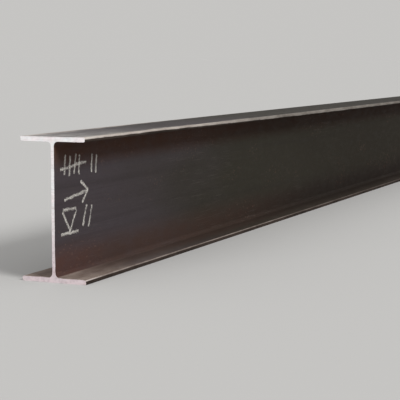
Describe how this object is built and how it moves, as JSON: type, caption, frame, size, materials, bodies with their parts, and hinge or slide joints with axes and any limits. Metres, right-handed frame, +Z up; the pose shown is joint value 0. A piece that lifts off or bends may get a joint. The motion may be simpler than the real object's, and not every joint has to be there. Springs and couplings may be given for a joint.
{
  "type": "steel h-beam",
  "caption": "Hot-rolled steel H-beam with parallel flanges, as a long straight length of sawn stock lying on its bottom flange.",
  "frame": {"origin": "on the floor under the middle of the beam, at the centre of the bottom flange's underside", "axes": "+Z up along the web, +Y along the beam towards its far sawn end, +X across the flanges"},
  "size_m": [0.124, 6, 0.248],
  "materials": {
    "rolled_steel": "matte"
  },
  "bodies": {
    "root": {"h_beam": "rolled_steel"}
  },
  "joints": []
}
